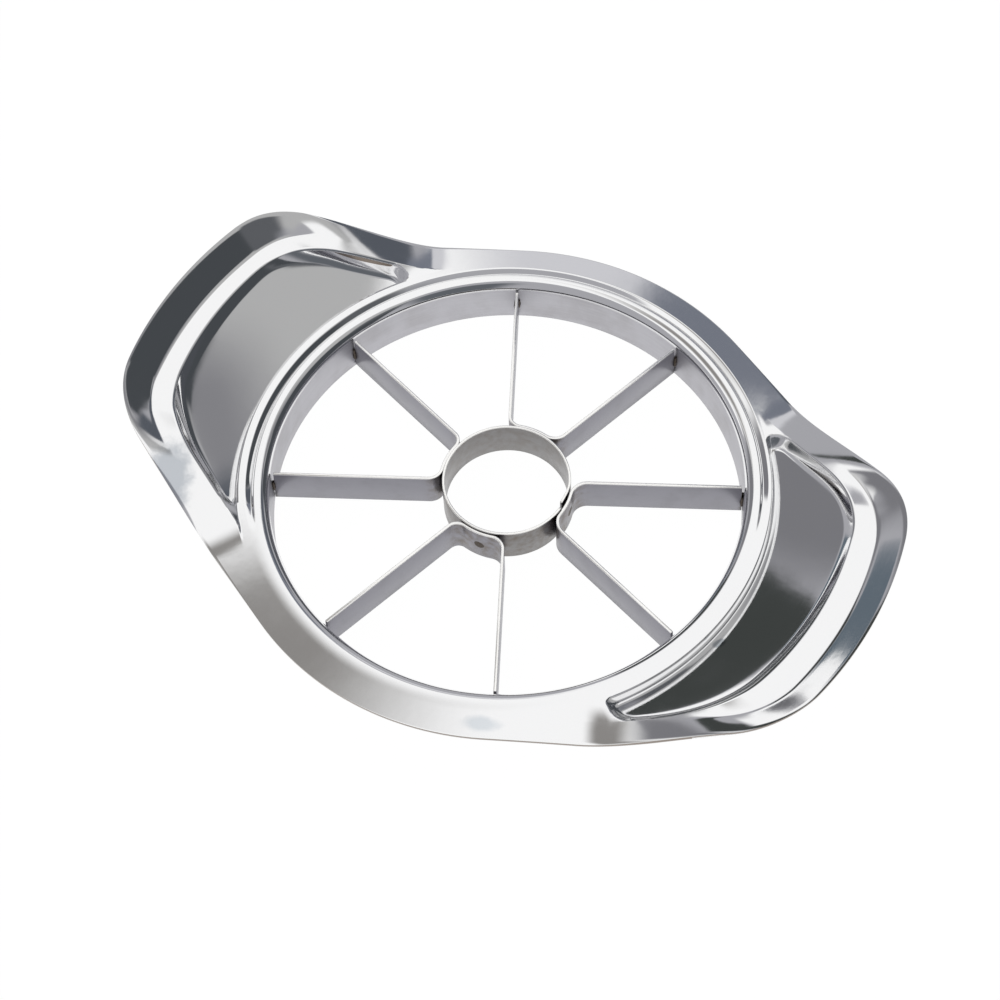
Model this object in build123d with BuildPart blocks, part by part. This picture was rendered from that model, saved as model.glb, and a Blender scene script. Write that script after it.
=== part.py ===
from build123d import *
import os
from math import acos, asin, cos, degrees, radians, sin, sqrt, tan

os.makedirs("parts", exist_ok=True)

# Push-down apple slicer in stainless steel, millimetres. Z = 0 is the lower
# edge of the drawn wall, +Z is the side that the hands press on, the Z axis
# runs through the core ring and the two finger wings lie along X.

# pressed frame: drawn wall and rolled rim
sheet = 0.8                 # thickness of the pressed sheet
opening_radius = 46.0       # inside of the drawn wall
rim_height = 10.2           # crown of the rolled rim above the wall's lower edge
bead_radius = 1.75          # outside radius of the rolled rim
bead_end_slope = 50.0       # degrees down where the rim runs into its valley
valley_radius = 0.5         # valley between the rim and the flange
shoulder_slope = 25.0       # degrees up from the valley to the flange
shoulder_radius = 1.5

# pressed frame: flange that sweeps up into the wings
side_width = 9.5            # flange beside the opening, from the wall's inside
flare_start = 6.5           # from the wall's inside to where the flange sweeps up
flare_bend = 10.5
flare_slope = 32.5          # degrees
lip_width = 10.2            # stretch along a wing's edge where the sweep flattens
lip_bend = 50.0
wing_width = 30.2           # wing, from the wall's inside
wing_corner_angle = 21.0    # degrees from the X axis to a wing's corner
wing_corner_radius = 20.0

# pressed frame: recessed crescent in each wing
dish_start = 6.9            # from the wall's inside to the crescent's inner edge
dish_width = 12.4
dish_corner_angle = 22.0    # degrees from the X axis to the crescent's corner
dish_tip_angle = 45.7       # degrees from the X axis to where its edges would meet
dish_corner_radius = 5.0
dish_tip_radius = 1.2
dish_depth = 1.5            # at the crescent's inner edge
dish_floor_slope = 24.0     # degrees
dish_floor_radius = 0.5
dish_back_radius = 0.9      # behind the floor's edge, where drawing thins the sheet

# core ring, a rolled strip with a butt seam
core_radius = 12.0          # inside of the ring
core_wall = 0.5
core_height = 8.3
core_lift = 0.6             # ring's lower edge above the wall's lower edge
seam_gap = 0.8
seam_shift = 4.6            # degrees from the middle of the first blade strip

# blade strips, each bent round the core ring into two radial arms
strip_count = 4
strip_wall = 0.6
strip_height = 8.2
strip_lift = 0.3            # strip's lower edge above the wall's lower edge
strip_bend = 2.0            # inside radius of the two bends
blade_turn = 4.9            # degrees from the X axis to the middle of the first strip
seat_gap = 0.05             # between a strip or a weld and what it stands against

# welds
spot_radius = 1.25          # spot weld through a strip and the ring
spot_shifts = (4.5, 0.0, 0.0, 1.0)  # degrees from the middle of each strip
tack_radius = 0.9           # tack bead in the corner of an arm and the wall
tack_level = 4.2            # middle of a tack above the arm's lower edge


def level(radius, slope, next_slope):
    """The level distance that an arc covers between two slopes in degrees."""
    return radius * abs(sin(radians(slope)) - sin(radians(next_slope)))


def rise(radius, slope, next_slope):
    """The height that an arc covers between two slopes in degrees."""
    return radius * abs(cos(radians(slope)) - cos(radians(next_slope)))


def polar(radius, angle):
    """A point in plan from its radius and its angle from the X axis."""
    return Vector(radius * cos(radians(angle)), radius * sin(radians(angle)))


def mirrored(point):
    """The same point on the other side of the X axis."""
    return Vector(point.X, -point.Y)


def facing(angle, height):
    """A level plane whose X axis points along an angle."""
    return Plane(origin=(0, 0, height), x_dir=polar(1, angle), z_dir=(0, 0, 1))


# places along the frame's section that follow from the sizes above
side_radius = opening_radius + side_width
flare_radius = opening_radius + flare_start
wing_radius = opening_radius + wing_width
lip_radius = wing_radius - lip_width
dish_inner_radius = opening_radius + dish_start
dish_outer_radius = dish_inner_radius + dish_width
flare_end = flare_radius + level(flare_bend, 0, flare_slope)
bead_drop = rise(bead_radius, 0, bead_end_slope) + rise(valley_radius, 0, bead_end_slope)
shoulder_rise = rise(valley_radius + shoulder_radius, 0, shoulder_slope)
skirt_height = rim_height - bead_drop + shoulder_rise
margin = 2.0                # how far a cutting shape runs past what it cuts
lip_share = (wing_radius + margin - lip_radius) / lip_bend
lip_turn = flare_slope - degrees(asin(sin(radians(flare_slope)) - lip_share))
clear_height = wing_radius  # above everything that is formed here


def formed_block(depth):
    """Solid metal up to the surface that lies depth below the pressed face."""
    with BuildPart() as block:
        with BuildSketch(Plane.XZ):
            with BuildLine():
                foot = Vector(opening_radius + depth, -depth)
                wall = Line(foot, (foot.X, rim_height - bead_radius))
                bead = JernArc(wall @ 1, wall % 1, bead_radius - depth, -90 - bead_end_slope)
                valley_turn = bead_end_slope + shoulder_slope
                valley = JernArc(bead @ 1, bead % 1, valley_radius + depth, valley_turn)
                crest_bend = shoulder_radius - depth
                shoulder = JernArc(valley @ 1, valley % 1, crest_bend, -shoulder_slope)
                skirt = Line(shoulder @ 1, (flare_radius, skirt_height - depth))
                flare = JernArc(skirt @ 1, skirt % 1, flare_bend + depth, flare_slope)
                slope_length = (lip_radius - flare_end) / cos(radians(flare_slope))
                slope = Line(flare @ 1, flare @ 1 + (flare % 1) * slope_length)
                lip = JernArc(slope @ 1, slope % 1, lip_bend - depth, -lip_turn)
                edge = lip @ 1
                Polyline(edge, (edge.X, -depth), foot)
            make_face()
        revolve(axis=Axis.Z)
    return block.part


# crescent in plan: straight sides run from its corners to the inner arc
dish_corner = polar(dish_outer_radius, dish_corner_angle)
dish_tip = polar(dish_inner_radius, dish_tip_angle)


def dish_tool(depth, edge_radius):
    """What is cleared above the two dish floors, depth below the pressed face."""
    floor_drop = dish_depth + depth / cos(radians(dish_floor_slope))
    floor_start = Vector(dish_inner_radius, skirt_height - floor_drop)
    floor_run = Vector(1, tan(radians(dish_floor_slope)))
    with BuildPart() as tool:
        with BuildSketch() as crescents:
            with BuildLine():
                ThreePointArc(mirrored(dish_corner), (dish_outer_radius, 0), dish_corner)
                Line(dish_corner, dish_tip)
                ThreePointArc(dish_tip, (dish_inner_radius, 0), mirrored(dish_tip))
                Line(mirrored(dish_tip), mirrored(dish_corner))
            make_face()
            fillet(crescents.vertices().group_by(Axis.X)[-1], dish_corner_radius)
            fillet(crescents.vertices().group_by(Axis.X)[0], dish_tip_radius)
            if depth > 0:
                offset(amount=depth)
            mirror(about=Plane.YZ)
        extrude(amount=clear_height)
        with BuildSketch(Plane.XZ):
            inner = floor_start - floor_run * margin
            outer = floor_start + floor_run * (dish_width + margin)
            Polygon(inner, outer, (outer.X, -margin), (inner.X, -margin), align=None)
        revolve(axis=Axis.Z, mode=Mode.SUBTRACT)
        sides = tool.faces().filter_by(lambda face: abs(face.normal_at().Z) < 0.01)
        edges = sides.edges().filter_by_position(Axis.Z, 0, clear_height, (True, False))
        fillet(edges.filter_by(Axis.Z, reverse=True), edge_radius)
    return tool.part


# frame in plan: the side arcs run tangent into the wings' straight sides
wing_corner = polar(wing_radius, wing_corner_angle)
tangent_angle = wing_corner_angle + degrees(acos(side_radius / wing_radius))
side_end = polar(side_radius, tangent_angle)

face_block = formed_block(0)
back_block = formed_block(sheet)
face_dish = dish_tool(0, dish_floor_radius)
back_dish = dish_tool(sheet, dish_back_radius)

with BuildPart() as pressed_frame:
    add(face_block)
    add(face_dish, mode=Mode.SUBTRACT)
    add(back_block - back_dish, mode=Mode.SUBTRACT)
    with BuildSketch() as frame_plan:
        with BuildLine():
            ThreePointArc(mirrored(wing_corner), (wing_radius, 0), wing_corner)
            Line(wing_corner, side_end)
            ThreePointArc(side_end, (0, side_radius), (-side_end.X, side_end.Y))
            Line((-side_end.X, side_end.Y), (-wing_corner.X, wing_corner.Y))
            ThreePointArc(
                (-wing_corner.X, wing_corner.Y), (-wing_radius, 0), (-wing_corner.X, -wing_corner.Y)
            )
            Line((-wing_corner.X, -wing_corner.Y), (-side_end.X, -side_end.Y))
            ThreePointArc((-side_end.X, -side_end.Y), (0, -side_radius), mirrored(side_end))
            Line(mirrored(side_end), mirrored(wing_corner))
        make_face()
        corners = frame_plan.vertices().group_by(SortBy.DISTANCE)[-1]
        fillet(corners, wing_corner_radius)
    extrude(amount=clear_height, mode=Mode.INTERSECT)
pressed_frame.part.label = "pressed_frame"
export_step(pressed_frame.part, "parts/pressed_frame.step")

# core: where the strips sit on the ring
core_outer = core_radius + core_wall
strip_seat = core_outer + seat_gap
strip_outer = strip_seat + strip_wall
strip_step = 360 / strip_count
strip_angles = [blade_turn + index * strip_step for index in range(strip_count)]
spot_angles = [angle + shift for angle, shift in zip(strip_angles, spot_shifts)]
spot_height = strip_lift + strip_height / 2

with BuildPart() as core_ring:
    with BuildSketch(Plane.XY.offset(core_lift)):
        Circle(core_outer)
        Circle(core_radius, mode=Mode.SUBTRACT)
    extrude(amount=core_height)
    with BuildSketch(facing(blade_turn - seam_shift, core_lift)):
        with Locations((core_radius, 0)):
            Rectangle(2 * margin, seam_gap)
    extrude(amount=core_height, mode=Mode.SUBTRACT)
    for angle in spot_angles:
        with BuildSketch(Plane(origin=(0, 0, spot_height), z_dir=polar(1, angle))):
            Circle(spot_radius + seat_gap)
        extrude(amount=core_outer + margin, mode=Mode.SUBTRACT)
core_ring.part.label = "core_ring"
export_step(core_ring.part, "parts/core_ring.step")

# a strip in plan: arm, bend, arc round the ring, bend, arm
arm_angle = strip_step / 4
bend_reach = strip_outer + strip_bend
bend_angle = arm_angle - degrees(asin((strip_bend + strip_wall / 2) / bend_reach))
arm_start = sqrt(bend_reach**2 - (strip_bend + strip_wall / 2) ** 2)
bend_turn = 90 + bend_angle - arm_angle

for index, (angle, spot_angle) in enumerate(zip(strip_angles, spot_angles)):
    arm = polar(1, arm_angle)
    inward = polar(strip_wall / 2, arm_angle - 90)
    with BuildPart() as blade_strip:
        with BuildSketch(facing(angle, strip_lift)):
            with BuildLine():
                first = Line(arm * (opening_radius + margin) + inward, arm * arm_start + inward)
                bend_in = JernArc(first @ 1, first % 1, strip_bend, bend_turn)
                seat = JernArc(bend_in @ 1, bend_in % 1, strip_outer, -2 * bend_angle)
                bend_out = JernArc(seat @ 1, seat % 1, strip_bend, bend_turn)
                Line(bend_out @ 1, mirrored(first @ 0))
                offset(amount=strip_wall, side=Side.RIGHT)
            make_face()
            Circle(opening_radius - seat_gap, mode=Mode.INTERSECT)
        extrude(amount=strip_height)
        with BuildSketch(Plane(origin=(0, 0, spot_height), z_dir=polar(1, spot_angle))):
            Circle(spot_radius + seat_gap)
        extrude(amount=strip_outer + margin, mode=Mode.SUBTRACT)
    name = f"blade_strip_{index + 1}"
    blade_strip.part.label = name
    export_step(blade_strip.part, f"parts/{name}.step")

# spot welds, flush with the strip outside and with the ring inside
with BuildPart() as core_spot_welds:
    for angle in spot_angles:
        with BuildSketch(Plane(origin=(0, 0, spot_height), z_dir=polar(1, angle))):
            Circle(spot_radius)
        extrude(amount=strip_outer + margin)
    with BuildSketch():
        Circle(strip_outer)
        Circle(core_radius, mode=Mode.SUBTRACT)
    extrude(amount=clear_height, mode=Mode.INTERSECT)
core_spot_welds.part.label = "core_spot_welds"
export_step(core_spot_welds.part, "parts/core_spot_welds.step")

# tack welds, one bead on each side of every arm, against the wall
with BuildPart() as rim_tack_welds:
    arm_angles = [angle + side * arm_angle for angle in strip_angles for side in (-1, 1)]
    for angle in arm_angles:
        tack_plane = facing(angle, strip_lift + tack_level)
        with Locations(tack_plane):
            with Locations((opening_radius, strip_wall / 2), (opening_radius, -strip_wall / 2)):
                Sphere(tack_radius)
    for angle in arm_angles:
        with BuildSketch(facing(angle, 0)):
            with Locations((opening_radius, 0)):
                Rectangle(4 * tack_radius, strip_wall + 2 * seat_gap)
        extrude(amount=clear_height, mode=Mode.SUBTRACT)
    with BuildSketch():
        Circle(opening_radius - seat_gap)
    extrude(amount=clear_height, mode=Mode.INTERSECT)
rim_tack_welds.part.label = "rim_tack_welds"
export_step(rim_tack_welds.part, "parts/rim_tack_welds.step")
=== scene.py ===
import bpy
import math
import numpy as np
from mathutils import Matrix, Vector


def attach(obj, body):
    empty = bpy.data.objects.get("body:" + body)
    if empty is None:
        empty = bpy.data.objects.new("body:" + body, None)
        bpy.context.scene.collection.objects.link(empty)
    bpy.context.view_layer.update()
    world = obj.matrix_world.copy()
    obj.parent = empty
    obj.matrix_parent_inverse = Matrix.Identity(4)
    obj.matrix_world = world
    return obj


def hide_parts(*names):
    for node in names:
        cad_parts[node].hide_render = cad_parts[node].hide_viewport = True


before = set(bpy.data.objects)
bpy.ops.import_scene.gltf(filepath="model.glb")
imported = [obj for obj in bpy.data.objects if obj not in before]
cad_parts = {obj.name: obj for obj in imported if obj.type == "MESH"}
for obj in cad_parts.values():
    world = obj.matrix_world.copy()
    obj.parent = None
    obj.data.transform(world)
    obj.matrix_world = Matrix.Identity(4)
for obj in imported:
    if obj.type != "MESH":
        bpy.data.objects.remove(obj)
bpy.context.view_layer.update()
print("loaded the packed part, nodes:", len(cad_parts))

mm = 0.001
mergeDistance = 1e-6  # in metres: points closer together than this become one


# small helpers for the bench work

def deselectAll():
    if bpy.context.object and bpy.context.object.mode != 'OBJECT':
        bpy.ops.object.mode_set(mode='OBJECT')
    bpy.ops.object.select_all(action='DESELECT')


def activate(piece):
    deselectAll()
    piece.select_set(True)
    bpy.context.view_layer.objects.active = piece


def editAll(piece):
    activate(piece)
    bpy.ops.object.mode_set(mode='EDIT')
    bpy.ops.mesh.select_mode(type='VERT')
    bpy.ops.mesh.select_all(action='SELECT')


def editWhere(piece, test):
    # edit mode with only the vertices selected whose place in millimetres passes the test
    editAll(piece)
    bpy.ops.mesh.select_all(action='DESELECT')
    bpy.ops.object.mode_set(mode='OBJECT')
    for vertex in piece.data.vertices:
        vertex.select = bool(test(vertex.co / mm))
    bpy.ops.object.mode_set(mode='EDIT')


def editFaces(piece, test):
    # edit mode with only the faces selected that pass the test
    editAll(piece)
    bpy.ops.mesh.select_mode(type='FACE')
    bpy.ops.mesh.select_all(action='DESELECT')
    bpy.ops.object.mode_set(mode='OBJECT')
    for face in piece.data.polygons:
        face.select = bool(test(face))
    bpy.ops.object.mode_set(mode='EDIT')


def applyModifier(piece, kind, **settings):
    activate(piece)
    modifier = piece.modifiers.new(kind.title(), kind)
    for key, value in settings.items():
        setattr(modifier, key, value)
    bpy.ops.object.modifier_apply(modifier=modifier.name)


def applyPlace(piece):
    activate(piece)
    bpy.ops.object.transform_apply(location=True, rotation=True, scale=True)


def roundEdges(piece, width, angle=50):
    limit = math.radians(angle)
    applyModifier(piece, 'BEVEL', width=width * mm, segments=2, limit_method='ANGLE', angle_limit=limit)


def facesOut(piece):
    editAll(piece)
    bpy.ops.mesh.remove_doubles(threshold=mergeDistance)
    bpy.ops.mesh.normals_make_consistent(inside=False)
    bpy.ops.object.mode_set(mode='OBJECT')


def smooth(piece, angle=50):
    activate(piece)
    bpy.ops.object.shade_smooth_by_angle(angle=math.radians(angle))


def joinPieces(pieces, name):
    activate(pieces[0])
    for piece in pieces:
        piece.select_set(True)
    bpy.ops.object.join()
    pieces[0].name = pieces[0].data.name = name
    return pieces[0]


def settle(piece, node):
    # rides on the one body, and stands for its CAD node
    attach(piece, "root")
    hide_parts(node)


def pointsOf(piece):
    places = np.empty(len(piece.data.vertices) * 3)
    piece.data.vertices.foreach_get("co", places)
    return places.reshape(-1, 3) / mm


def movePoints(piece, places):
    piece.data.vertices.foreach_set("co", np.asarray(places, float).ravel() * mm)
    piece.data.update()


def ease(low, high, value):
    # 0 before low and 1 after high, level at both ends
    share = np.clip((value - low) / (high - low), 0, 1)
    return share * share * (3 - 2 * share)


def blendLeast(a, b, reach):
    # the lesser of two distances, rounded where they meet
    share = np.clip(0.5 + 0.5 * (b - a) / reach, 0, 1)
    return b * (1 - share) + a * share - reach * share * (1 - share)


def polar(radius, angle):
    turn = math.radians(angle)
    return np.array([radius * math.cos(turn), radius * math.sin(turn)])


# pressed frame, one sheet formed from a flat blank

pressedFrame = {
    "sheet": 0.8, "edgeRound": 0.12,
    # drawn wall, rolled bead on its top, and the narrow flange beside it
    "openingRadius": 46.0, "rimHeight": 10.2, "beadRadius": 2.2,
    "skirtStart": 48.4, "skirtBend": 50.5, "skirtSlope": 5.5,
    # the groove beside the bead runs round the far side and one wing, from grooveFrom to grooveTo
    "grooveStart": 48.85, "grooveEnd": 50.5, "grooveBottom": 49.35,
    "grooveDepth": 0.92, "grooveRound": 0.3,
    "grooveFrom": 10.0, "grooveFull": 34.0, "grooveFade": 208.0, "grooveTo": 224.0,
    "grooveDeepest": 190.0, "grooveChange": 0.14,
    # outline in plan
    "sideRadius": 55.5, "wingRadius": 76.2, "wingCornerAngle": 21.0, "wingCornerRadius": 20.0,
    # a gentle ledge round the crescent, and the lip that turns up beyond it
    "lipHeight": 21.15, "lipFull": 16.0, "lipGone": 47.4, "lipBend": 0.22, "lipWidth": 5.0,
    "ledgeFull": 20.5, "ledgeGone": 31.0, "ledgeSlope": 4.0,
    "leastLedge": 0.2, "mostLedge": 0.85, "leastGentle": 0.05,
    "leastLift": 0.3, "leastWidth": 1.0, "mostShare": 1.2,
    # crescent in plan, with its side and tip for upper right, upper left, lower left and lower right
    "dishInner": 51.6, "dishInnerShift": 0.6,
    "dishOuter": 66.9, "dishOuterShift": 0.7, "dishOuterLean": 2.1,
    "dishSideDistance": (49.5, 49.0, 48.3, 51.2), "dishTipAngle": (39.5, 37.5, 37.0, 39.5),
    "dishSideSlope": 26.0, "dishCornerBlend": 7.0, "dishTipBlend": 2.5, "dishEnd": 60.0,
    "dishRimHeight": 16.6, "dishRimFull": 19.4, "dishRimGone": 45.8, "leastDish": 0.5,
    # crescent's floor and walls
    "floorHeight": 7.75, "floorShift": 0.35, "floorSlope": 28.1,
    "floorCrown": -0.39, "floorTwist": -0.48, "floorTwistAngle": 40,
    "innerWallWidth": 0.8, "outerWallWidth": 1.8, "wallBlend": 1.0,
    # mesh: rows up the wall and over the bead, rows outwards, and columns of a quarter turn
    "wallRows": 7, "beadRows": 25, "outwardRows": (17, 4, 8, 9, 10, 5, 8, 5), "edgeWalk": 16,
    "columns": ((0, 14, 14), (14, 25, 22), (25, 34, 16), (34, 41, 30), (41, 50, 10), (50, 90, 22)),
    # distances that keep the rows apart, also where a crescent ends
    "leastFloor": 1.7, "leastFlange": 0.6, "innerFoot": 1.2, "footGap": 1.4, "ledgeGap": 0.1,
    "bendReach": 0.8, "mostLipShare": 0.8,
}


def folded(angle):
    # the same place on the wing that lies along +X, 0 to 90 degrees
    angle = np.abs((np.asarray(angle, float) + 180) % 360 - 180)
    return np.minimum(angle, 180 - angle)


def outlineRadius(angle, size):
    # the wing's arc, a fillet, a straight side, and the arc beside the opening
    wing, side, fillet = size["wingRadius"], size["sideRadius"], size["wingCornerRadius"]
    touch = size["wingCornerAngle"] + math.degrees(math.acos(side / wing))
    turn = np.radians(angle)
    leastCosine = 0.2  # the straight side is left before its cosine gets this small
    line = side / np.maximum(np.cos(turn - math.radians(touch)), leastCosine)
    filletStart = touch - math.degrees(math.acos((side - fillet) / (wing - fillet)))
    centre = polar(wing - fillet, filletStart)
    filletEnd = math.degrees(math.atan2(*(centre + polar(fillet, touch))[::-1]))
    along = np.cos(turn) * centre[0] + np.sin(turn) * centre[1]
    arc = along + np.sqrt(np.maximum(along ** 2 - centre @ centre + fillet ** 2, 0))
    edge = np.where(angle <= filletStart, wing, line)
    edge = np.where((angle > filletStart) & (angle < filletEnd), arc, edge)
    return np.where(angle > touch, side, edge)


def quarterOf(trueAngle):
    # 0 to 3: upper right, upper left, lower left and lower right in plan
    return (np.asarray(trueAngle) % 360 // 90).astype(int)


def innerEdgeOf(trueAngle, size):
    return size["dishInner"] - size["dishInnerShift"] * np.cos(np.radians(trueAngle))


def dishInset(radius, trueAngle, size):
    # how far a place lies inside the crescent's arc and its straight sides, which meet in rounded corners
    turn = np.radians(trueAngle)
    arc = size["dishOuter"] - size["dishOuterShift"] * np.cos(turn) + size["dishOuterLean"] * np.sin(turn)
    across = radius * np.cos(np.radians(folded(trueAngle) - 90 + size["dishSideSlope"]))
    side = np.take(size["dishSideDistance"], quarterOf(trueAngle))
    return blendLeast(arc - radius, side - across, size["dishCornerBlend"])


def dishRadius(trueAngle, size):
    # walks to the crescent's outer edge
    radius = np.full(np.shape(trueAngle), size["dishOuter"])
    for step in range(size["edgeWalk"]):
        radius = radius + dishInset(radius, trueAngle, size)
    radius = np.maximum(radius, size["dishInner"])
    return np.where(folded(trueAngle) > size["dishEnd"], size["dishInner"], radius)


def skirtLevel(radius, angle, size):
    # level beside the bead, then a slight fall outwards where the flange doesn't turn up into a wing
    bend = size["skirtBend"] - size["skirtStart"]
    out = np.maximum(radius - size["skirtStart"], 0)
    run = np.where(out < bend, out ** 2 / (2 * bend), out - bend / 2)
    fall = run * math.tan(math.radians(size["skirtSlope"]))
    return size["rimHeight"] - fall * (1 - ease(size["lipGone"], size["lipFull"], angle))


def grooveDepth(radius, angle, size):
    # a narrow pressed groove with a steep inner side and a gentler outer one
    inner = (radius - size["grooveStart"]) / (size["grooveBottom"] - size["grooveStart"])
    outer = (size["grooveEnd"] - radius) / (size["grooveEnd"] - size["grooveBottom"])
    depth = blendLeast(inner, outer, size["grooveRound"])
    # rounded at its edges too, where a blend lifts the level by a quarter of its reach
    edgeRound = size["grooveRound"] / 2
    depth = -blendLeast(-depth, 0, edgeRound)
    length = ease(size["grooveFrom"], size["grooveFull"], angle)
    length = length * (1 - ease(size["grooveFade"], size["grooveTo"], angle))
    away = np.cos(np.radians(angle - size["grooveDeepest"]))
    length = length * (1 - size["grooveChange"] + size["grooveChange"] * away)
    return size["grooveDepth"] * np.maximum(depth - edgeRound / 4, 0) * length


def flangeHeight(radius, trueAngle, size):
    # the sheet's upper face as if no crescent were pressed in it
    angle, innerEdge = folded(trueAngle), innerEdgeOf(trueAngle, size)
    edge = outlineRadius(angle, size)
    dish = dishRadius(trueAngle, size)
    rimLift = size["dishRimHeight"] - size["rimHeight"]
    rimLift = rimLift * ease(size["dishRimGone"], size["dishRimFull"], angle)
    lipLift = size["lipHeight"] - size["rimHeight"]
    lipLift = lipLift * ease(size["lipGone"], size["lipFull"], angle)
    width = np.maximum(edge - dish, size["leastWidth"])
    share = np.clip((radius - dish) / width, 0, size["mostShare"])
    ledge = np.clip(1 - size["lipWidth"] / width, size["leastLedge"], size["mostLedge"])
    slope = math.tan(math.radians(size["ledgeSlope"]))
    gentle = slope * width / np.maximum(lipLift - rimLift, size["leastLift"])
    gentle = np.clip(gentle, size["leastGentle"], 1)
    gentle = gentle + (1 - gentle) * ease(size["ledgeFull"], size["ledgeGone"], angle)
    # a gentle ledge beside the crescent, then a soft bend into the steeper lip
    bend = size["lipBend"] / width
    start = np.logaddexp(0, -ledge / bend)
    steep = np.logaddexp(0, (share - ledge) / bend) - start
    steep = steep / (np.logaddexp(0, (1 - ledge) / bend) - start)
    base = skirtLevel(radius, angle, size)
    outer = base + rimLift + (lipLift - rimLift) * (gentle * share + (1 - gentle) * steep)
    inner = np.clip((radius - innerEdge) / np.maximum(dish - innerEdge, size["leastDish"]), 0, 1)
    return np.where(radius > np.maximum(dish, innerEdge), outer, base + rimLift * inner)


def floorLevel(radius, trueAngle, size):
    # the crescent's floor: a slope with a slight hollow, lower towards the tips
    share = np.clip((radius - size["dishInner"]) / (size["dishOuter"] - size["dishInner"]), 0, 1)
    floor = size["floorHeight"] + size["floorShift"] * np.cos(np.radians(trueAngle))
    floor = floor + (radius - size["dishInner"]) * math.tan(math.radians(size["floorSlope"]))
    twist = size["floorTwist"] * (folded(trueAngle) / size["floorTwistAngle"]) ** 2
    return floor + size["floorCrown"] * 4 * share * (1 - share) + twist


def sheetHeight(radius, trueAngle, size):
    angle, quarter = folded(trueAngle), quarterOf(trueAngle)
    flange = flangeHeight(radius, trueAngle, size)
    # the walls are steepest at the top and run out softly in the floor, and the tips are round
    tip = radius * np.radians(np.take(size["dishTipAngle"], quarter) - angle)
    outer = blendLeast(dishInset(radius, trueAngle, size), tip, size["dishTipBlend"])
    outer = outer / size["outerWallWidth"]
    inner = (radius - innerEdgeOf(trueAngle, size)) / size["innerWallWidth"]
    wall = np.clip(blendLeast(outer, inner, size["wallBlend"]), 0, 1)
    drop = np.maximum(flange - floorLevel(radius, trueAngle, size), 0) * (1 - (1 - wall) ** 2)
    return flange - np.where(angle > size["dishEnd"], 0, drop)


def rimSection(size):
    # wall and rolled bead up to its crest, as radius and height from the bottom up
    bead = size["beadRadius"]
    top = size["rimHeight"] - bead
    section = [(size["openingRadius"], height) for height in np.linspace(0, top, size["wallRows"])]
    centre = np.array((size["openingRadius"] + bead, top))
    for turn in np.linspace(180, 90, size["beadRows"])[1:]:
        section.append(tuple(centre + polar(bead, turn)))
    return np.array(section)


def frameColumns(size):
    # angles round the opening, closer together at the crescents' corners
    quarter = np.concatenate([np.linspace(*part, endpoint=False) for part in size["columns"]])
    half = np.concatenate([quarter, [90], 180 - quarter[:0:-1]])
    return np.concatenate([half, half + 180, [360]])


def frameRadii(trueAngle, size, start):
    # radii of the rows beyond the bead's crest, closer together in the groove and at the crescent's walls
    angle = folded(trueAngle)
    edge = outlineRadius(angle, size)
    inner = innerEdgeOf(trueAngle, size)
    dish = np.clip(dishRadius(trueAngle, size), inner + size["leastFloor"], edge - size["leastFlange"])
    ledge = edge - np.minimum(size["lipWidth"], size["mostLipShare"] * (edge - dish))
    foot = np.maximum(dish - size["outerWallWidth"], inner + size["footGap"])
    bend = np.minimum(size["bendReach"], (edge - ledge) / 2)
    marks = [np.full(len(angle), start), np.full(len(angle), size["grooveEnd"]),
             inner, inner + size["innerFoot"], foot, dish,
             np.maximum(ledge - bend, dish + size["ledgeGap"]), ledge + bend, edge]
    radii = []
    for low, high, steps in zip(marks, marks[1:], size["outwardRows"]):
        radii.append(low + (high - low) * np.arange(1, steps + 1)[:, None] / steps)
    return np.concatenate(radii)


def trimEdge(piece, size):
    # the blank is trimmed square, so no point stands out past the outline
    places = pointsOf(piece)
    radius = np.hypot(places[:, 0], places[:, 1])
    edge = outlineRadius(folded(np.degrees(np.arctan2(places[:, 1], places[:, 0]))), size)
    places[:, :2] *= np.where(radius > edge, edge / radius, 1)[:, None]
    movePoints(piece, places)


def makePressedFrame(size):
    angles = frameColumns(size)[::-1]
    section = rimSection(size)
    rows = len(section)
    rimRadii = np.repeat(section[:, :1], len(angles), 1)
    radii = np.concatenate([rimRadii, frameRadii(angles, size, section[-1, 0])])
    heights = sheetHeight(radii, np.broadcast_to(angles, radii.shape), size)
    heights = heights - grooveDepth(radii, angles % 360, size)
    heights[:rows] = section[:, 1:]

    deselectAll()
    across, along = len(angles) - 1, len(radii) - 1
    bpy.ops.mesh.primitive_grid_add(x_subdivisions=across, y_subdivisions=along, size=1)
    blank = bpy.context.object
    blank.name = blank.data.name = "pressed_frame_sheet"
    flat = pointsOf(blank) * mm
    column = np.rint((flat[:, 0] + 0.5) * across).astype(int)
    row = np.rint((flat[:, 1] + 0.5) * along).astype(int)
    radius, turn = radii[row, column], np.radians(angles[column])
    movePoints(blank, np.stack([radius * np.cos(turn), radius * np.sin(turn), heights[row, column]], 1))
    editAll(blank)
    bpy.ops.mesh.remove_doubles(threshold=mergeDistance)
    bpy.ops.object.mode_set(mode='OBJECT')
    applyModifier(blank, 'SOLIDIFY', thickness=size["sheet"] * mm, offset=-1, use_even_offset=True)
    trimEdge(blank, size)
    roundEdges(blank, size["edgeRound"], angle=80)
    smooth(blank, angle=80)
    return blank


sheet = makePressedFrame(pressedFrame)
settle(sheet, "pressed_frame")
print("pressed frame formed:", len(sheet.data.polygons), "faces")


# blade strips, each bent round the ring into two arms

bladeStrip = {
    "count": 4, "wall": 0.6, "height": 8.2, "lift": 0.3, "seat": 12.55,
    "armAngle": 22.5, "reach": 45.9, "turn": 4.9,
    "endNotch": 0.45, "notchStart": 0.05, "edgeRound": 0.06,
    # inside radius of the bend on each side of each strip's seat
    "bends": ((3.0, 3.0), (2.2, 2.6), (2.4, 2.0), (2.6, 2.0)),
    "seatSteps": 8, "bendSteps": 10,
}


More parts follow.
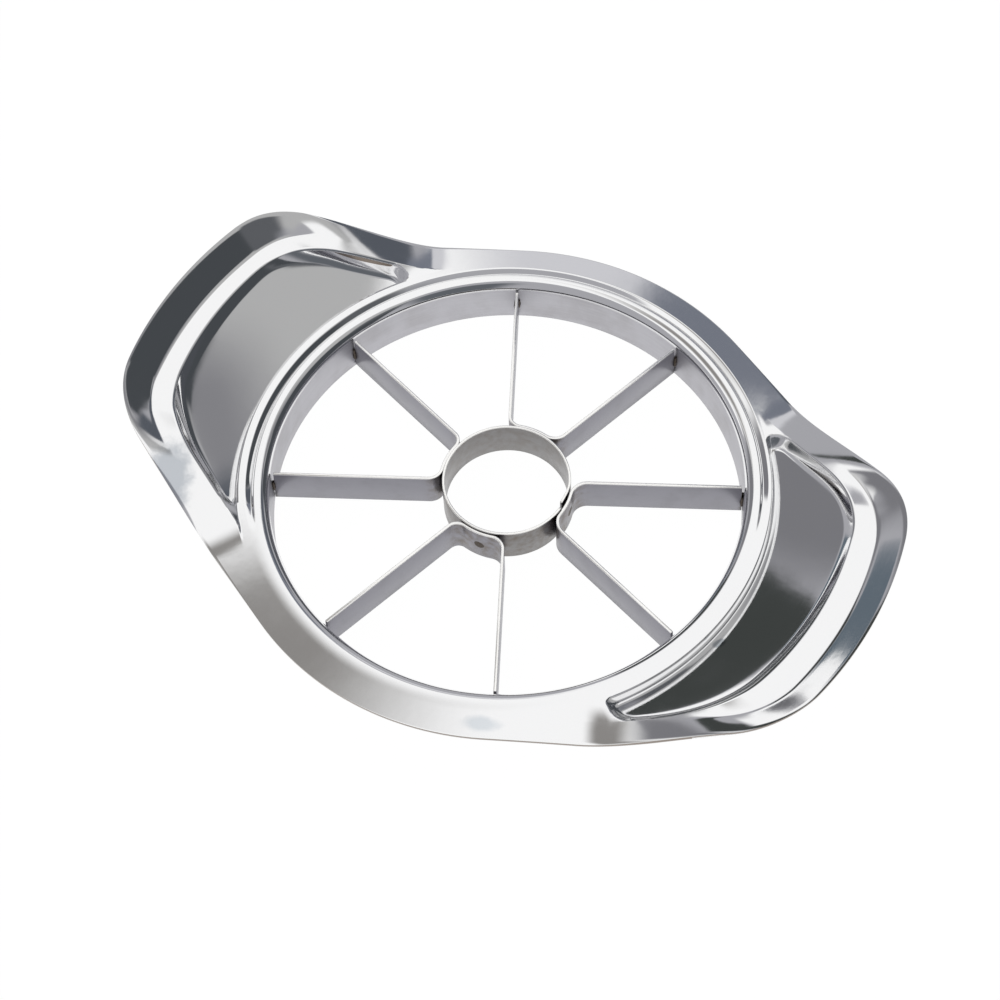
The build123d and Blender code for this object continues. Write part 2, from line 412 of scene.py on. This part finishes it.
def standSection(name, wall, height, lift, radius):
    # the strip's cross-section, an open loop of four edges that stands on the X axis
    deselectAll()
    place = (radius * mm, 0, (lift + height / 2) * mm)
    bpy.ops.mesh.primitive_plane_add(size=1, location=place, rotation=(math.pi / 2, 0, 0))
    piece = bpy.context.object
    piece.name = piece.data.name = name
    piece.scale = (wall * mm, height * mm, 1)
    applyPlace(piece)
    editAll(piece)
    bpy.ops.mesh.delete(type='ONLY_FACE')
    bpy.ops.object.mode_set(mode='OBJECT')
    return piece


def spinOn(centre, angle, steps):
    axle = (centre[0] * mm, centre[1] * mm, 0)
    bpy.ops.mesh.spin(steps=steps, angle=math.radians(angle), center=axle, axis=(0, 0, -1))


def bendArm(piece, side, bend, size):
    # from the middle of the seat: round the ring, round the corner, and out along the arm
    middleBend = bend + size["wall"] / 2
    away = size["seat"] + size["wall"] + bend
    lean = size["armAngle"] - math.degrees(math.asin(middleBend / away))
    corner = polar(away, side * lean)
    out = polar(1, side * size["armAngle"])
    start = corner + middleBend * polar(1, side * (size["armAngle"] + 90))
    step = out * (size["reach"] - start @ out) / 2 * mm
    onAxis = 0.001
    editWhere(piece, lambda place: abs(place.y) < onAxis)
    spinOn((0, 0), side * lean, size["seatSteps"])
    spinOn(corner, -side * (90 + lean - size["armAngle"]), size["bendSteps"])
    for half in range(2):
        bpy.ops.mesh.extrude_region_move(TRANSFORM_OT_translate={"value": (step[0], step[1], 0)})
    bpy.ops.mesh.edge_face_add()
    bpy.ops.object.mode_set(mode='OBJECT')


def makeStrip(index, size):
    name = f"blade_strip_{index + 1}"
    middle = size["seat"] + size["wall"] / 2
    piece = standSection(name + "_bent", size["wall"], size["height"], size["lift"], middle)
    for side, bend in zip((1, -1), size["bends"][index]):
        bendArm(piece, side, bend, size)
    # the upper corner of each arm's end is nipped off, clear of the wall
    far, high = size["reach"] - size["notchStart"], size["lift"] + size["height"] / 2
    editWhere(piece, lambda place: math.hypot(place.x, place.y) > far and place.z > high)
    shorter = 1 - size["endNotch"] / size["reach"]
    bpy.ops.transform.resize(value=(shorter, shorter, 1), center_override=(0, 0, 0))
    bpy.ops.object.mode_set(mode='OBJECT')
    facesOut(piece)
    piece.rotation_euler.z = math.radians(size["turn"] + 90 * index)
    applyPlace(piece)
    roundEdges(piece, size["edgeRound"])
    smooth(piece)
    settle(piece, name)
    return piece


strips = [makeStrip(index, bladeStrip) for index in range(bladeStrip["count"])]
print("blade strips bent")


# core ring, rolled from a strip, one end of its seam a little inward

coreRing = {
    "middle": 12.25, "wall": 0.5, "height": 8.3, "lift": 0.6, "seamStart": 2.7, "seamEnd": 357.8,
    "inward": 0.45, "inwardReach": 24, "edgeRound": 0.06, "steps": 120,
}


def makeRing(size):
    piece = standSection("core_ring_rolled", size["wall"], size["height"], size["lift"], size["middle"])
    piece.rotation_euler.z = math.radians(size["seamStart"])
    applyPlace(piece)
    editAll(piece)
    spinOn((0, 0), size["seamEnd"] - size["seamStart"], size["steps"])
    nearEnd = 0.3  # past half the wall, and short of the next step
    for seam in (size["seamStart"], size["seamEnd"]):
        end = polar(size["middle"], seam)
        editWhere(piece, lambda place: math.hypot(place.x - end[0], place.y - end[1]) < nearEnd)
        bpy.ops.mesh.edge_face_add()
    bpy.ops.object.mode_set(mode='OBJECT')
    facesOut(piece)
    places = pointsOf(piece)
    angle = np.degrees(np.arctan2(places[:, 1], places[:, 0])) % 360
    inward = size["inward"] * (1 - ease(size["seamStart"], size["seamStart"] + size["inwardReach"], angle))
    places[:, :2] *= (1 - inward / size["middle"])[:, None]
    movePoints(piece, places)
    roundEdges(piece, size["edgeRound"])
    smooth(piece)
    settle(piece, "core_ring")
    return piece


ring = makeRing(coreRing)
print("core ring rolled")


# welds: four spots through the seats, and thin beads beside the arms' ends

spotWeld = {
    "radius": 1.25, "height": 4.4, "inside": 12.2, "outside": 13.17, "crown": 0.03,
    "shifts": (4.5, 0.0, 0.0, 1.0),  # degrees from the middle of each seat
    "rings": (0.3, 0.35, 0.45), "segments": 40,
}


def makeSpots(size):
    spots = []
    middle = (size["inside"] + size["outside"]) / 2
    for index, shift in enumerate(size["shifts"]):
        deselectAll()
        bpy.ops.mesh.primitive_cylinder_add(vertices=size["segments"], radius=size["radius"] * mm,
                                            depth=1 * mm, end_fill_type='NGON')
        spot = bpy.context.object
        for step in size["rings"]:
            # rings on both ends, so that they can take a crown
            editFaces(spot, lambda face: len(face.vertices) > 4)
            bpy.ops.mesh.inset(thickness=step * mm, depth=0, use_individual=True)
            bpy.ops.object.mode_set(mode='OBJECT')
        places = pointsOf(spot)
        # laid round the seat's curve, with a slight crown at both ends
        across, along = places[:, 0].copy(), places[:, 1].copy()
        crown = size["crown"] * (1 - (np.hypot(across, along) / size["radius"]) ** 2)
        outer = size["outside"] - size["crown"] + crown
        inner = size["inside"] + size["crown"] - crown
        radius = np.where(places[:, 2] > 0, outer, inner)
        turn = np.radians(bladeStrip["turn"] + 90 * index + shift) + across / middle
        movePoints(spot, np.stack([radius * np.cos(turn), radius * np.sin(turn), size["height"] + along], 1))
        facesOut(spot)
        spots.append(spot)
    piece = joinPieces(spots, "core_spot_marks")
    smooth(piece, angle=40)
    settle(piece, "core_spot_welds")
    return piece


tackWeld = {
    "width": 0.32, "tall": 2.9, "level": 3.9, "reach": 45.82, "gap": 0.05, "segments": 24, "rings": 18,
    # a bead's lumps, and how the beads differ from each other
    "lumps": 0.12, "coarseLumps": 9, "fineLumps": 17,
    "stretch": 0.75, "stretchChange": 0.5, "stretchWave": 2.3,
    "levelChange": 0.5, "levelWave": 1.7, "turnStep": 37,
}


def makeBead(size):
    # a lumpy bead, thicker in the middle
    deselectAll()
    bpy.ops.mesh.primitive_uv_sphere_add(segments=size["segments"], ring_count=size["rings"], radius=1 * mm)
    bead = bpy.context.object
    places = pointsOf(bead)
    lumps = 1 + size["lumps"] * np.sin(places[:, 2] * size["coarseLumps"] + 2 * places[:, 0])
    lumps = lumps + size["lumps"] * np.sin(places[:, 2] * size["fineLumps"] + 1)
    places[:, :2] *= (size["width"] * lumps)[:, None]
    places[:, 2] *= size["tall"] / 2
    movePoints(bead, places)
    return bead


def makeTacks(size):
    pattern = makeBead(size)
    tacks = []
    offset = bladeStrip["wall"] / 2 + size["gap"]
    for arm in range(2 * bladeStrip["count"]):
        angle = bladeStrip["turn"] + bladeStrip["armAngle"] + 45 * arm
        for side in (-1, 1):
            activate(pattern)
            bpy.ops.object.duplicate(linked=False)
            bead = bpy.context.object
            place = polar(size["reach"], angle) + polar(side * offset, angle + 90)
            level = size["level"] + size["levelChange"] * math.sin(arm * size["levelWave"] + side)
            change = size["stretchChange"] * abs(math.sin(arm * size["stretchWave"] + side))
            bead.scale = (1, 1, size["stretch"] + change)
            bead.rotation_euler.z = math.radians(size["turnStep"] * arm + 90 * side)
            bead.location = (place[0] * mm, place[1] * mm, level * mm)
            applyPlace(bead)
            tacks.append(bead)
    bpy.data.objects.remove(pattern)
    piece = joinPieces(tacks, "rim_tack_beads")
    smooth(piece, angle=60)
    settle(piece, "rim_tack_welds")
    return piece


spots = makeSpots(spotWeld)
tacks = makeTacks(tackWeld)
print("welds placed")


# camera at the photograph's angle

viewpoint = {
    "place": (0.11348, -0.18229, 0.35016),  # in metres
    "azimuth": 32.284, "elevation": 58.389, "roll": -2.484,
    "lens": 75.0, "sensor": 36, "nearest": 0.01, "furthest": 50,
}


def placeCamera(view):
    camera = bpy.data.objects.new("camera", bpy.data.cameras.new("camera"))
    bpy.context.collection.objects.link(camera)
    azimuth, elevation, roll = (math.radians(view[key]) for key in ("azimuth", "elevation", "roll"))
    flat = math.cos(elevation)
    back = Vector((math.sin(azimuth) * flat, -math.cos(azimuth) * flat, math.sin(elevation)))
    level = Vector((math.cos(azimuth), math.sin(azimuth), 0))
    upright = back.cross(level)
    right = level * math.cos(roll) + upright * math.sin(roll)
    above = upright * math.cos(roll) - level * math.sin(roll)
    turn = Matrix((right, above, back)).transposed().to_4x4()
    camera.matrix_world = Matrix.Translation(view["place"]) @ turn
    camera.data.lens = view["lens"]
    camera.data.sensor_width = view["sensor"]
    camera.data.clip_start = view["nearest"]
    camera.data.clip_end = view["furthest"]
    bpy.context.scene.camera = camera


placeCamera(viewpoint)
print("camera placed")


# helpers for shader nodes

def put(tree, kind, inputs=None, **settings):
    # one node, with its settings, and each named input either linked or set
    node = tree.nodes.new(kind)
    for key, value in settings.items():
        setattr(node, key, value)
    for key, value in (inputs or {}).items():
        if isinstance(value, bpy.types.NodeSocket):
            tree.links.new(value, node.inputs[key])
        else:
            node.inputs[key].default_value = value
    return node


def calc(tree, operation, *values):
    return put(tree, "ShaderNodeMath", dict(enumerate(values)), operation=operation).outputs[0]


def vector(tree, operation, inputs):
    return put(tree, "ShaderNodeVectorMath", inputs, operation=operation).outputs


def rise(tree, value, low, high, start=0.0, end=1.0):
    # from start below low to end above high
    inputs = {"Value": value, "From Min": low, "From Max": high, "To Min": start, "To Max": end}
    return put(tree, "ShaderNodeMapRange", inputs, interpolation_type='SMOOTHSTEP').outputs["Result"]


def between(tree, mask, first, second):
    inputs = {"Factor": mask, "A": first, "B": second}
    return put(tree, "ShaderNodeMix", inputs, data_type='RGBA').outputs["Result"]


def effect(name, inputs, outputs):
    group = bpy.data.node_groups.new(name, 'ShaderNodeTree')
    for key, kind in inputs.items():
        group.interface.new_socket(name=key, in_out='INPUT', socket_type='NodeSocket' + kind)
    for key, kind in outputs.items():
        group.interface.new_socket(name=key, in_out='OUTPUT', socket_type='NodeSocket' + kind)
    return group, put(group, "NodeGroupInput").outputs, put(group, "NodeGroupOutput").inputs


def use(tree, group, **inputs):
    return put(tree, "ShaderNodeGroup", inputs, node_tree=group).outputs


# floor, white as the camera and the steel see it, and still with the object's shadow

table = {"colour": (0.85, 0.85, 0.86), "glow": 1.03, "glowShare": 0.96, "width": 12000, "level": -0.05}


def makeFloor(size):
    deselectAll()
    bpy.ops.mesh.primitive_plane_add(size=size["width"] * mm, location=(0, 0, size["level"] * mm))
    floor = bpy.context.object
    floor.name = "floor"
    material = bpy.data.materials.new("whiteTable")
    material.use_nodes = True
    tree = material.node_tree
    tree.nodes.clear()
    diffuse = put(tree, "ShaderNodeBsdfDiffuse", {"Color": (*size["colour"], 1)}).outputs[0]
    glow = put(tree, "ShaderNodeEmission", {"Strength": size["glow"]}).outputs[0]
    path = put(tree, "ShaderNodeLightPath").outputs
    seen = calc(tree, 'MAXIMUM', path["Is Camera Ray"], path["Is Glossy Ray"])
    seen = calc(tree, 'MAXIMUM', seen, path["Is Transmission Ray"])
    share = calc(tree, 'MULTIPLY', seen, size["glowShare"])
    mix = put(tree, "ShaderNodeMixShader", {0: share, 1: diffuse, 2: glow}).outputs[0]
    put(tree, "ShaderNodeOutputMaterial", {0: mix})
    floor.data.materials.append(material)


# the studio: soft cards on a dome, each painted over the ones before it

studio = {
    "walls": (0.40, 0.40, 0.425),
    # name, azimuth, elevation, half width, half height and softness in degrees, colour
    "cards": [
        ("ceiling", 122, 77.5, 55, 25.5, 2, (1.0, 1.0, 1.0)),
        ("greyRoom", 33, 53, 26, 18, 3, (0.46, 0.46, 0.46)),
        ("greyShade", 62, 44, 13, 9, 8, (0.24, 0.24, 0.255)),
        ("slateFar", 84, 35.5, 10, 9.5, 2, (0.095, 0.105, 0.125)),
        ("darkRoom", 20, 26, 30, 20, 2, (0.062, 0.068, 0.075)),
        ("darkUpper", -3, 45, 9, 8, 3, (0.11, 0.115, 0.125)),
        ("darkCorner", 52, 21, 18, 13, 3, (0.062, 0.068, 0.075)),
        ("darkLow", 50, 5, 52, 11, 4, (0.07, 0.075, 0.085)),
        ("warmWall", 176, 62, 15, 12, 7, (0.27, 0.26, 0.25)),
        ("farLight", 117, 39, 9, 6, 2, (0.64, 0.64, 0.67)),
        ("farSlate", 102, 44, 6, 6, 1, (0.18, 0.195, 0.235)),
        ("greyRight", 166, 31, 12, 15, 5, (0.20, 0.20, 0.215)),
        ("oliveRight", 141.5, 21, 9.5, 10, 1, (0.05, 0.055, 0.053)),
        ("whiteRight", 138, 48, 11, 11, 3, (1.0, 1.0, 1.0)),
        ("slateLow", 154, 3, 9.5, 6, 2, (0.12, 0.15, 0.18)),
        ("whiteLow", 136, 3, 8, 6, 2, (1.0, 1.0, 1.0)),
        ("flagLeft", -42, 28, 17, 27, 6, (0.12, 0.13, 0.145)),
    ],
}


def makeSoftCard():
    # how much of a soft rectangular card a direction meets
    vectors, numbers = ("Direction", "Facing", "Side", "Rise"), ("Half Width", "Half Height", "Softness")
    inputs = {**dict.fromkeys(vectors, 'Vector'), **dict.fromkeys(numbers, 'Float')}
    group, given, out = effect("softCard", inputs, {"Mask": 'Float'})
    dots = {}
    for name in ("Facing", "Side", "Rise"):
        dots[name] = vector(group, 'DOT_PRODUCT', {0: given["Direction"], 1: given[name]})["Value"]
    leastAhead = 0.001  # directions beside or behind the card don't meet it
    ahead = calc(group, 'MAXIMUM', dots["Facing"], leastAhead)
    masks = []
    for name, reach in (("Side", "Half Width"), ("Rise", "Half Height")):
        away = calc(group, 'ABSOLUTE', calc(group, 'DIVIDE', dots[name], ahead))
        low = calc(group, 'SUBTRACT', given[reach], given["Softness"])
        high = calc(group, 'ADD', given[reach], given["Softness"])
        masks.append(rise(group, away, low, high, 1.0, 0.0))
    front = calc(group, 'GREATER_THAN', dots["Facing"], leastAhead)
    mask = calc(group, 'MULTIPLY', calc(group, 'MULTIPLY', *masks), front)
    group.links.new(mask, out["Mask"])
    return group


def makeStudio(settings):
    world = bpy.data.worlds.new("studio")
    bpy.context.scene.world = world
    world.use_nodes = True
    tree = world.node_tree
    tree.nodes.clear()
    direction = put(tree, "ShaderNodeTexCoord").outputs["Generated"]
    softCard = makeSoftCard()
    colour = (*settings["walls"], 1)
    for name, azimuth, elevation, halfWidth, halfHeight, softness, shade in settings["cards"]:
        turn, lift = math.radians(azimuth), math.radians(elevation)
        flat = math.cos(lift)
        facing = Vector((math.cos(turn) * flat, math.sin(turn) * flat, math.sin(lift)))
        side = Vector((-math.sin(turn), math.cos(turn), 0))
        inputs = {"Direction": direction, "Facing": facing, "Side": side, "Rise": facing.cross(side),
                  "Half Width": math.tan(math.radians(halfWidth)),
                  "Half Height": math.tan(math.radians(halfHeight)),
                  "Softness": math.tan(math.radians(softness))}
        card = put(tree, "ShaderNodeGroup", inputs, node_tree=softCard, label=name)
        colour = between(tree, card.outputs["Mask"], colour, (*shade, 1))
    background = put(tree, "ShaderNodeBackground", {"Color": colour, "Strength": 1.0}).outputs[0]
    put(tree, "ShaderNodeOutputWorld", {0: background})


makeFloor(table)
makeStudio(studio)
print("floor and studio set")


# effects that several finishes share, all in millimetres on the object

def makeFineLines():
    # rolling and brushing lines: noise stretched along the way that they run
    group, given, out = effect("fineLines", {"Place": 'Vector', "Stretch": 'Vector'}, {"Lines": 'Float'})
    stretched = vector(group, 'MULTIPLY', {0: given["Place"], 1: given["Stretch"]})[0]
    inputs = {"Vector": stretched, "Scale": 1.0, "Detail": 3.0, "Roughness": 0.6}
    group.links.new(put(group, "ShaderNodeTexNoise", inputs).outputs["Fac"], out["Lines"])
    return group


def makeCloudy():
    # soft uneven areas, such as smears and dulled steel
    inputs = {"Place": 'Vector', "Size": 'Float', "Low": 'Float', "High": 'Float'}
    group, given, out = effect("cloudy", inputs, {"Mask": 'Float'})
    scale = calc(group, 'DIVIDE', 1.0, given["Size"])
    inputs = {"Vector": given["Place"], "Scale": scale, "Detail": 4.0, "Roughness": 0.55}
    noise = put(group, "ShaderNodeTexNoise", inputs).outputs["Fac"]
    group.links.new(rise(group, noise, given["Low"], given["High"]), out["Mask"])
    return group


def makePatch():
    # one ragged patch: Within is the place measured from its centre in half sizes
    inputs = {"Within": 'Vector', "Place": 'Vector', "Ragged": 'Float', "Size": 'Float', "Soft": 'Float'}
    group, given, out = effect("patch", inputs, {"Mask": 'Float'})
    away = vector(group, 'LENGTH', {0: given["Within"]})["Value"]
    scale = calc(group, 'DIVIDE', 1.0, given["Size"])
    inputs = {"Vector": given["Place"], "Scale": scale, "Detail": 3.0}
    noise = put(group, "ShaderNodeTexNoise", inputs).outputs["Fac"]
    ragged = calc(group, 'MULTIPLY', calc(group, 'SUBTRACT', noise, 0.5), given["Ragged"])
    away = calc(group, 'ADD', away, ragged)
    low = calc(group, 'SUBTRACT', 1.0, given["Soft"])
    high = calc(group, 'ADD', 1.0, given["Soft"])
    outside = rise(group, away, low, high)
    group.links.new(calc(group, 'SUBTRACT', 1.0, outside), out["Mask"])
    return group


def makeOffAxis():
    # distance from the core's axis, and the height
    group, given, out = effect("offAxis", {"Place": 'Vector'}, {"Radius": 'Float', "Height": 'Float'})
    split = put(group, "ShaderNodeSeparateXYZ", {0: given["Place"]}).outputs
    squares = [calc(group, 'MULTIPLY', split[axis], split[axis]) for axis in range(2)]
    group.links.new(calc(group, 'SQRT', calc(group, 'ADD', *squares)), out["Radius"])
    group.links.new(split[2], out["Height"])
    return group


fineLines = makeFineLines()
cloudy = makeCloudy()
patch = makePatch()
offAxis = makeOffAxis()


def steelNodes(name, colour, roughness):
    # a bare metal material, and its object coordinates in millimetres
    material = bpy.data.materials.new(name)
    material.use_nodes = True
    tree = material.node_tree
    shader = tree.nodes["Principled BSDF"]
    shader.inputs["Metallic"].default_value = 1
    shader.inputs["Base Color"].default_value = (*colour, 1)
    shader.inputs["Roughness"].default_value = roughness
    place = put(tree, "ShaderNodeTexCoord").outputs["Object"]
    place = vector(tree, 'SCALE', {0: place, "Scale": 1 / mm})[0]
    return material, tree, shader, place


def cloudMask(tree, place, cloud):
    # cloud holds a size, and the noise levels where its mask starts and ends
    return use(tree, cloudy, Place=place, Size=cloud[0], Low=cloud[1], High=cloud[2])["Mask"]


def addShare(tree, value, mask, share):
    return calc(tree, 'ADD', value, calc(tree, 'MULTIPLY', mask, share))


def raised(tree, shader, height):
    # height is in millimetres
    bump = put(tree, "ShaderNodeBump", {"Height": height, "Strength": 1.0, "Distance": mm})
    tree.links.new(bump.outputs[0], shader.inputs["Normal"])


# polished frame: bright outside, satin on the drawn wall with painted shade in its darker colour, darker on
# the sheet's cut edge

polishedFrame = {
    "colour": (0.905, 0.905, 0.91), "roughness": 0.045,
    "lineStretch": (5.0, 0.35, 0.35), "lineRoughness": 0.05, "lineDepth": 0.0004,
    # clouds: size, and the noise levels where the mask starts and ends
    "cloud": (11.0, 0.45, 0.7), "cloudRoughness": 0.04,
    "wave": (16.0, 0.2, 0.8), "waveDepth": 0.012,
    "wallRadius": 46.9, "wallFull": 8.2, "wallGone": 8.9,
    # the wall's darker colour is painted shade, carried up onto the bead's inner side; its extra roughness is
    # the real satin
    "wallSatinShadeColour": (0.46, 0.455, 0.49), "wallRoughness": 0.34,
    "wallStretch": (0.12, 0.12, 5.0), "wallLineShare": 0.25,
    "wallSmear": (7.0, 0.42, 0.68), "wallSmearColour": (0.36, 0.35, 0.37), "wallSmearShare": 0.6,
    "cutColour": (0.26, 0.22, 0.19), "cutSlope": 0.3, "cutRadius": 54.5,
    # name, centre, half sizes, turn about Z, raggedness, softness, colour, strength
    "patches": [
        ("leftHairlines", (-54.4, -34.2, 16.0), (4.0, 6.5, 6.0), 32, 0.9, 0.35, (0.46, 0.49, 0.53), 0.85),
        ("nearSmudge", (22.4, -47.8, 9.5), (3.2, 1.3, 4.0), 25, 0.8, 0.5, (0.66, 0.70, 0.74), 0.8),
        ("floorSpot", (52.0, -11.7, 9.0), (1.3, 0.9, 3.0), 60, 0.6, 0.3, (0.42, 0.45, 0.48), 0.9),
    ],
    "patchGrain": 2.2,
}


def addPatches(tree, place, colour, size):
    for name, centre, half, turn, ragged, soft, shade, strength in size["patches"]:
        inputs = {"Vector": place, "Location": centre, "Rotation": (0, 0, math.radians(turn)), "Scale": half}
        within = put(tree, "ShaderNodeMapping", inputs, vector_type='TEXTURE', label=name).outputs[0]
        mask = use(tree, patch, Within=within, Place=place, Ragged=ragged, Size=size["patchGrain"], Soft=soft)
        colour = between(tree, calc(tree, 'MULTIPLY', mask["Mask"], strength), colour, (*shade, 1))
    return colour


def makePolishedFrame(size):
    material, tree, shader, place = steelNodes("polishedFrame", size["colour"], size["roughness"])
    where = use(tree, offAxis, Place=place)
    radius, height = where["Radius"], where["Height"]
    bright = (*size["colour"], 1)
    colour = addPatches(tree, place, bright, size)

    # the drawn wall under the bead keeps the mill's satin face, rougher, and its darker colour, which reaches
    # up onto the bead's inner side, is painted shade
    under = calc(tree, 'SUBTRACT', 1.0, rise(tree, height, size["wallFull"], size["wallGone"]))
    wall = calc(tree, 'MULTIPLY', calc(tree, 'LESS_THAN', radius, size["wallRadius"]), under)
    wallLines = use(tree, fineLines, Place=place, Stretch=size["wallStretch"])["Lines"]
    smear = calc(tree, 'MULTIPLY', cloudMask(tree, place, size["wallSmear"]), size["wallSmearShare"])
    wallShade = between(tree, smear, (*size["wallSatinShadeColour"], 1), (*size["wallSmearColour"], 1))
    wallShade = between(tree, calc(tree, 'MULTIPLY', wallLines, size["wallLineShare"]), wallShade, bright)
    # painted shade: the satin wall and the bead's inner side take the darker colour
    colour = between(tree, wall, colour, wallShade)

    # the cut edge of the sheet faces sideways, outside the opening
    normal = put(tree, "ShaderNodeNewGeometry").outputs["Normal"]
    upward = calc(tree, 'ABSOLUTE', put(tree, "ShaderNodeSeparateXYZ", {0: normal}).outputs[2])
    outside = calc(tree, 'GREATER_THAN', radius, size["cutRadius"])
    cut = calc(tree, 'MULTIPLY', calc(tree, 'LESS_THAN', upward, size["cutSlope"]), outside)
    colour = between(tree, cut, colour, (*size["cutColour"], 1))
    tree.links.new(colour, shader.inputs["Base Color"])

    lines = use(tree, fineLines, Place=place, Stretch=size["lineStretch"])["Lines"]
    rough = addShare(tree, size["roughness"], lines, size["lineRoughness"])
    rough = addShare(tree, rough, cloudMask(tree, place, size["cloud"]), size["cloudRoughness"])
    rough = addShare(tree, rough, wall, size["wallRoughness"])
    tree.links.new(rough, shader.inputs["Roughness"])

    wave = calc(tree, 'MULTIPLY', cloudMask(tree, place, size["wave"]), size["waveDepth"])
    raised(tree, shader, addShare(tree, wave, lines, size["lineDepth"]))
    return material


# satin steel: rolling lines along the strip, a painted highlight along the top edge, which is also less
# rough, and brown painted shade near where the strips meet the ring

satinSteel = {
    "lineStretch": (0.15, 0.15, 6.0), "lineColour": (0.6, 0.6, 0.62), "lineShare": 0.14,
    "lineRoughness": 0.16, "lineDepth": 0.004,
    "smear": (4.5, 0.45, 0.7), "smearShare": 0.45,
    "uneven": (1.6, 0.3, 0.75), "unevenDepth": 0.008,
    # brown painted shade near where the strips meet the ring
    "junctionShadeColour": (0.17, 0.145, 0.125), "junctionShadeShare": 0.85,
    # the top edge's band, painted as a highlight and made less rough
    "edgeWidth": 0.12, "edgeShine": 0.12,
}

satinBlade = {
    **satinSteel, "colour": (0.275, 0.272, 0.305), "smearColour": (0.225, 0.222, 0.245), "roughness": 0.33,
    # the top edge's painted highlight, then where the brown painted shade near the core starts and ends
    "edgeHighlightColour": (1.0, 0.99, 0.97), "edgeLevel": 8.42, "junctionShadeStart": 17.0, "junctionShadeEnd": 13.0,
    # the arms' ends are darkened beside the tacks
    "endColour": (0.12, 0.11, 0.11), "endStart": 44.9, "endFull": 45.9, "endLow": 0.25, "endHigh": 0.7,
}

satinCore = {
    **satinSteel, "colour": (0.235, 0.23, 0.23), "smearColour": (0.20, 0.19, 0.18), "roughness": 0.3,
    # the top edge's painted highlight, then where the brown painted shade towards the strips starts and ends
    "edgeHighlightColour": (1.0, 0.99, 0.965), "edgeLevel": 8.82, "junctionShadeStart": 11.4, "junctionShadeEnd": 12.6,
}


def makeSatinSteel(name, size):
    material, tree, shader, place = steelNodes(name, size["colour"], size["roughness"])
    where = use(tree, offAxis, Place=place)
    radius, height = where["Radius"], where["Height"]
    lines = use(tree, fineLines, Place=place, Stretch=size["lineStretch"])["Lines"]
    smear = calc(tree, 'MULTIPLY', cloudMask(tree, place, size["smear"]), size["smearShare"])
    colour = between(tree, smear, (*size["colour"], 1), (*size["smearColour"], 1))
    colour = between(tree, calc(tree, 'MULTIPLY', lines, size["lineShare"]), colour, (*size["lineColour"], 1))
    uneven = cloudMask(tree, place, size["uneven"])
    # brown painted shade where the strips meet the ring, broken up by the uneven noise
    near = rise(tree, radius, size["junctionShadeStart"], size["junctionShadeEnd"])
    junctionShade = calc(tree, 'MULTIPLY', near, calc(tree, 'MULTIPLY', uneven, size["junctionShadeShare"]))
    colour = between(tree, junctionShade, colour, (*size["junctionShadeColour"], 1))
    if "endColour" in size:
        far = rise(tree, radius, size["endStart"], size["endFull"])
        end = calc(tree, 'MULTIPLY', far, rise(tree, uneven, size["endLow"], size["endHigh"]))
        colour = between(tree, end, colour, (*size["endColour"], 1))
    # painted highlight: the top edge is painted near white, and below its roughness is lowered
    edge = rise(tree, height, size["edgeLevel"] - size["edgeWidth"], size["edgeLevel"])
    colour = between(tree, edge, colour, (*size["edgeHighlightColour"], 1))
    tree.links.new(colour, shader.inputs["Base Color"])
    rough = addShare(tree, size["roughness"], calc(tree, 'SUBTRACT', lines, 0.5), size["lineRoughness"])
    rough = calc(tree, 'SUBTRACT', rough, calc(tree, 'MULTIPLY', edge, size["edgeShine"]))
    tree.links.new(rough, shader.inputs["Roughness"])
    relief = calc(tree, 'MULTIPLY', lines, size["lineDepth"])
    raised(tree, shader, addShare(tree, relief, uneven, size["unevenDepth"]))
    return material


# weld marks: burnt brown, lighter in places

weldMark = {
    "colour": (0.065, 0.05, 0.038), "pale": (0.12, 0.10, 0.085), "roughness": 0.42,
    "cloud": (0.6, 0.35, 0.65), "cloudRoughness": 0.15, "cloudDepth": 0.03,
}


def makeWeldMark(size):
    material, tree, shader, place = steelNodes("weldMark", size["colour"], size["roughness"])
    cloud = cloudMask(tree, place, size["cloud"])
    colour = between(tree, cloud, (*size["colour"], 1), (*size["pale"], 1))
    tree.links.new(colour, shader.inputs["Base Color"])
    rough = addShare(tree, size["roughness"], cloud, size["cloudRoughness"])
    tree.links.new(rough, shader.inputs["Roughness"])
    raised(tree, shader, calc(tree, 'MULTIPLY', cloud, size["cloudDepth"]))
    return material


def finish(piece, material):
    piece.data.materials.clear()
    piece.data.materials.append(material)


finish(sheet, makePolishedFrame(polishedFrame))
bladeSteel = makeSatinSteel("satinBlade", satinBlade)
for strip in strips:
    finish(strip, bladeSteel)
finish(ring, makeSatinSteel("satinCore", satinCore))
burntSteel = makeWeldMark(weldMark)
finish(spots, burntSteel)
finish(tacks, burntSteel)
print("finishes applied")

bpy.context.scene.view_settings.view_transform = 'Standard'
